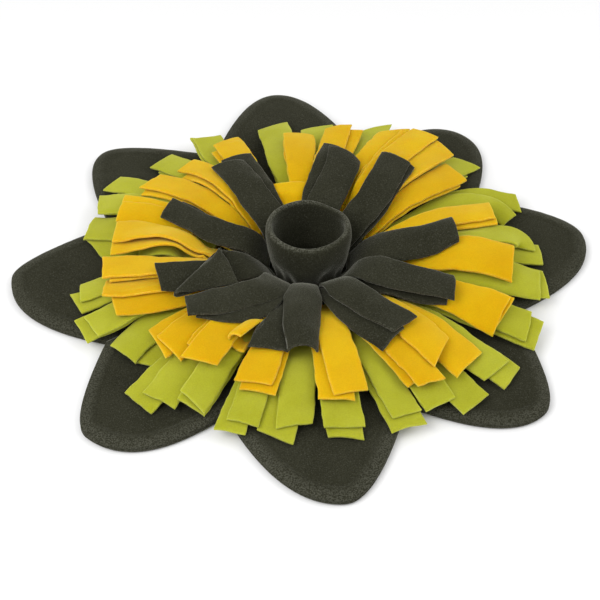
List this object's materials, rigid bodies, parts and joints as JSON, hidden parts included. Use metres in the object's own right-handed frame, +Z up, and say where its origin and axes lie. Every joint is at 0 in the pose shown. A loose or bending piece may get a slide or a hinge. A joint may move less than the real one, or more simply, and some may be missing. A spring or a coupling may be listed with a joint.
{
  "type": "fleece snuffle mat",
  "caption": "Flower-shaped padded fleece mat with rings of green, yellow and dark fleece tufts that hide food, and a gathered fleece cup in the middle.",
  "frame": {"origin": "on the floor under the middle of the mat, on the flat underside of the round padded middle", "axes": "+Z up through the cup, -Y towards the side that the picture shows nearest, +X to the right in the picture"},
  "size_m": [0.4975, 0.5196, 0.0573],
  "materials": {
    "padded_fleece_dark": "short pilled fleece over padding, matt",
    "fleece_dark": "short pilled fleece, matt",
    "fleece_yellow": "brushed fleece, matt",
    "fleece_green": "brushed fleece, matt"
  },
  "bodies": {
    "root": {"base_pad": "padded_fleece_dark", "petal_1": "padded_fleece_dark", "petal_2": "padded_fleece_dark", "petal_3": "padded_fleece_dark", "petal_4": "padded_fleece_dark", "petal_5": "padded_fleece_dark", "petal_6": "padded_fleece_dark", "petal_7": "padded_fleece_dark", "petal_8": "padded_fleece_dark", "fringe_green_1": "fleece_green", "fringe_green_2": "fleece_green", "fringe_green_3": "fleece_green", "fringe_green_4": "fleece_green", "fringe_green_5": "fleece_green", "fringe_green_6": "fleece_green", "fringe_green_7": "fleece_green", "fringe_green_8": "fleece_green", "fringe_green_9": "fleece_green", "fringe_yellow_1": "fleece_yellow", "fringe_yellow_2": "fleece_yellow", "fringe_yellow_3": "fleece_yellow", "fringe_yellow_4": "fleece_yellow", "fringe_yellow_5": "fleece_yellow", "fringe_yellow_6": "fleece_yellow", "fringe_dark_1": "fleece_dark", "fringe_dark_2": "fleece_dark", "fringe_dark_3": "fleece_dark", "fringe_dark_4": "fleece_dark", "fringe_dark_5": "fleece_dark", "cup": "fleece_dark"}
  },
  "joints": []
}
